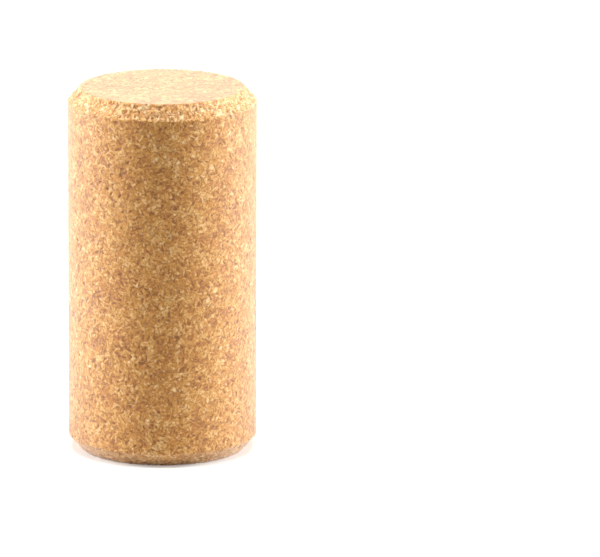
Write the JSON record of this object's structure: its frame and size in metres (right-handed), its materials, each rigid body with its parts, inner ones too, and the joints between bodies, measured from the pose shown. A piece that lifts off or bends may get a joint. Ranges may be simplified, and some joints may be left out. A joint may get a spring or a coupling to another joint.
{
  "type": "agglomerated wine cork",
  "caption": "Straight cylindrical bottle stopper of bound cork granules, ground smooth, with a bevel around each flat end.",
  "frame": {"origin": "centre of the lower end face, where the stopper stands", "axes": "+Z runs along the stopper's axis to its upper end face; X and Y lie in the lower end face, and the stopper is the same all round"},
  "size_m": [0.023, 0.023, 0.045],
  "materials": {
    "agglomerated_cork": "ground matte cork agglomerate, honey tan with paler and darker granules"
  },
  "bodies": {
    "root": {"cork_stopper": "agglomerated_cork"}
  },
  "joints": []
}
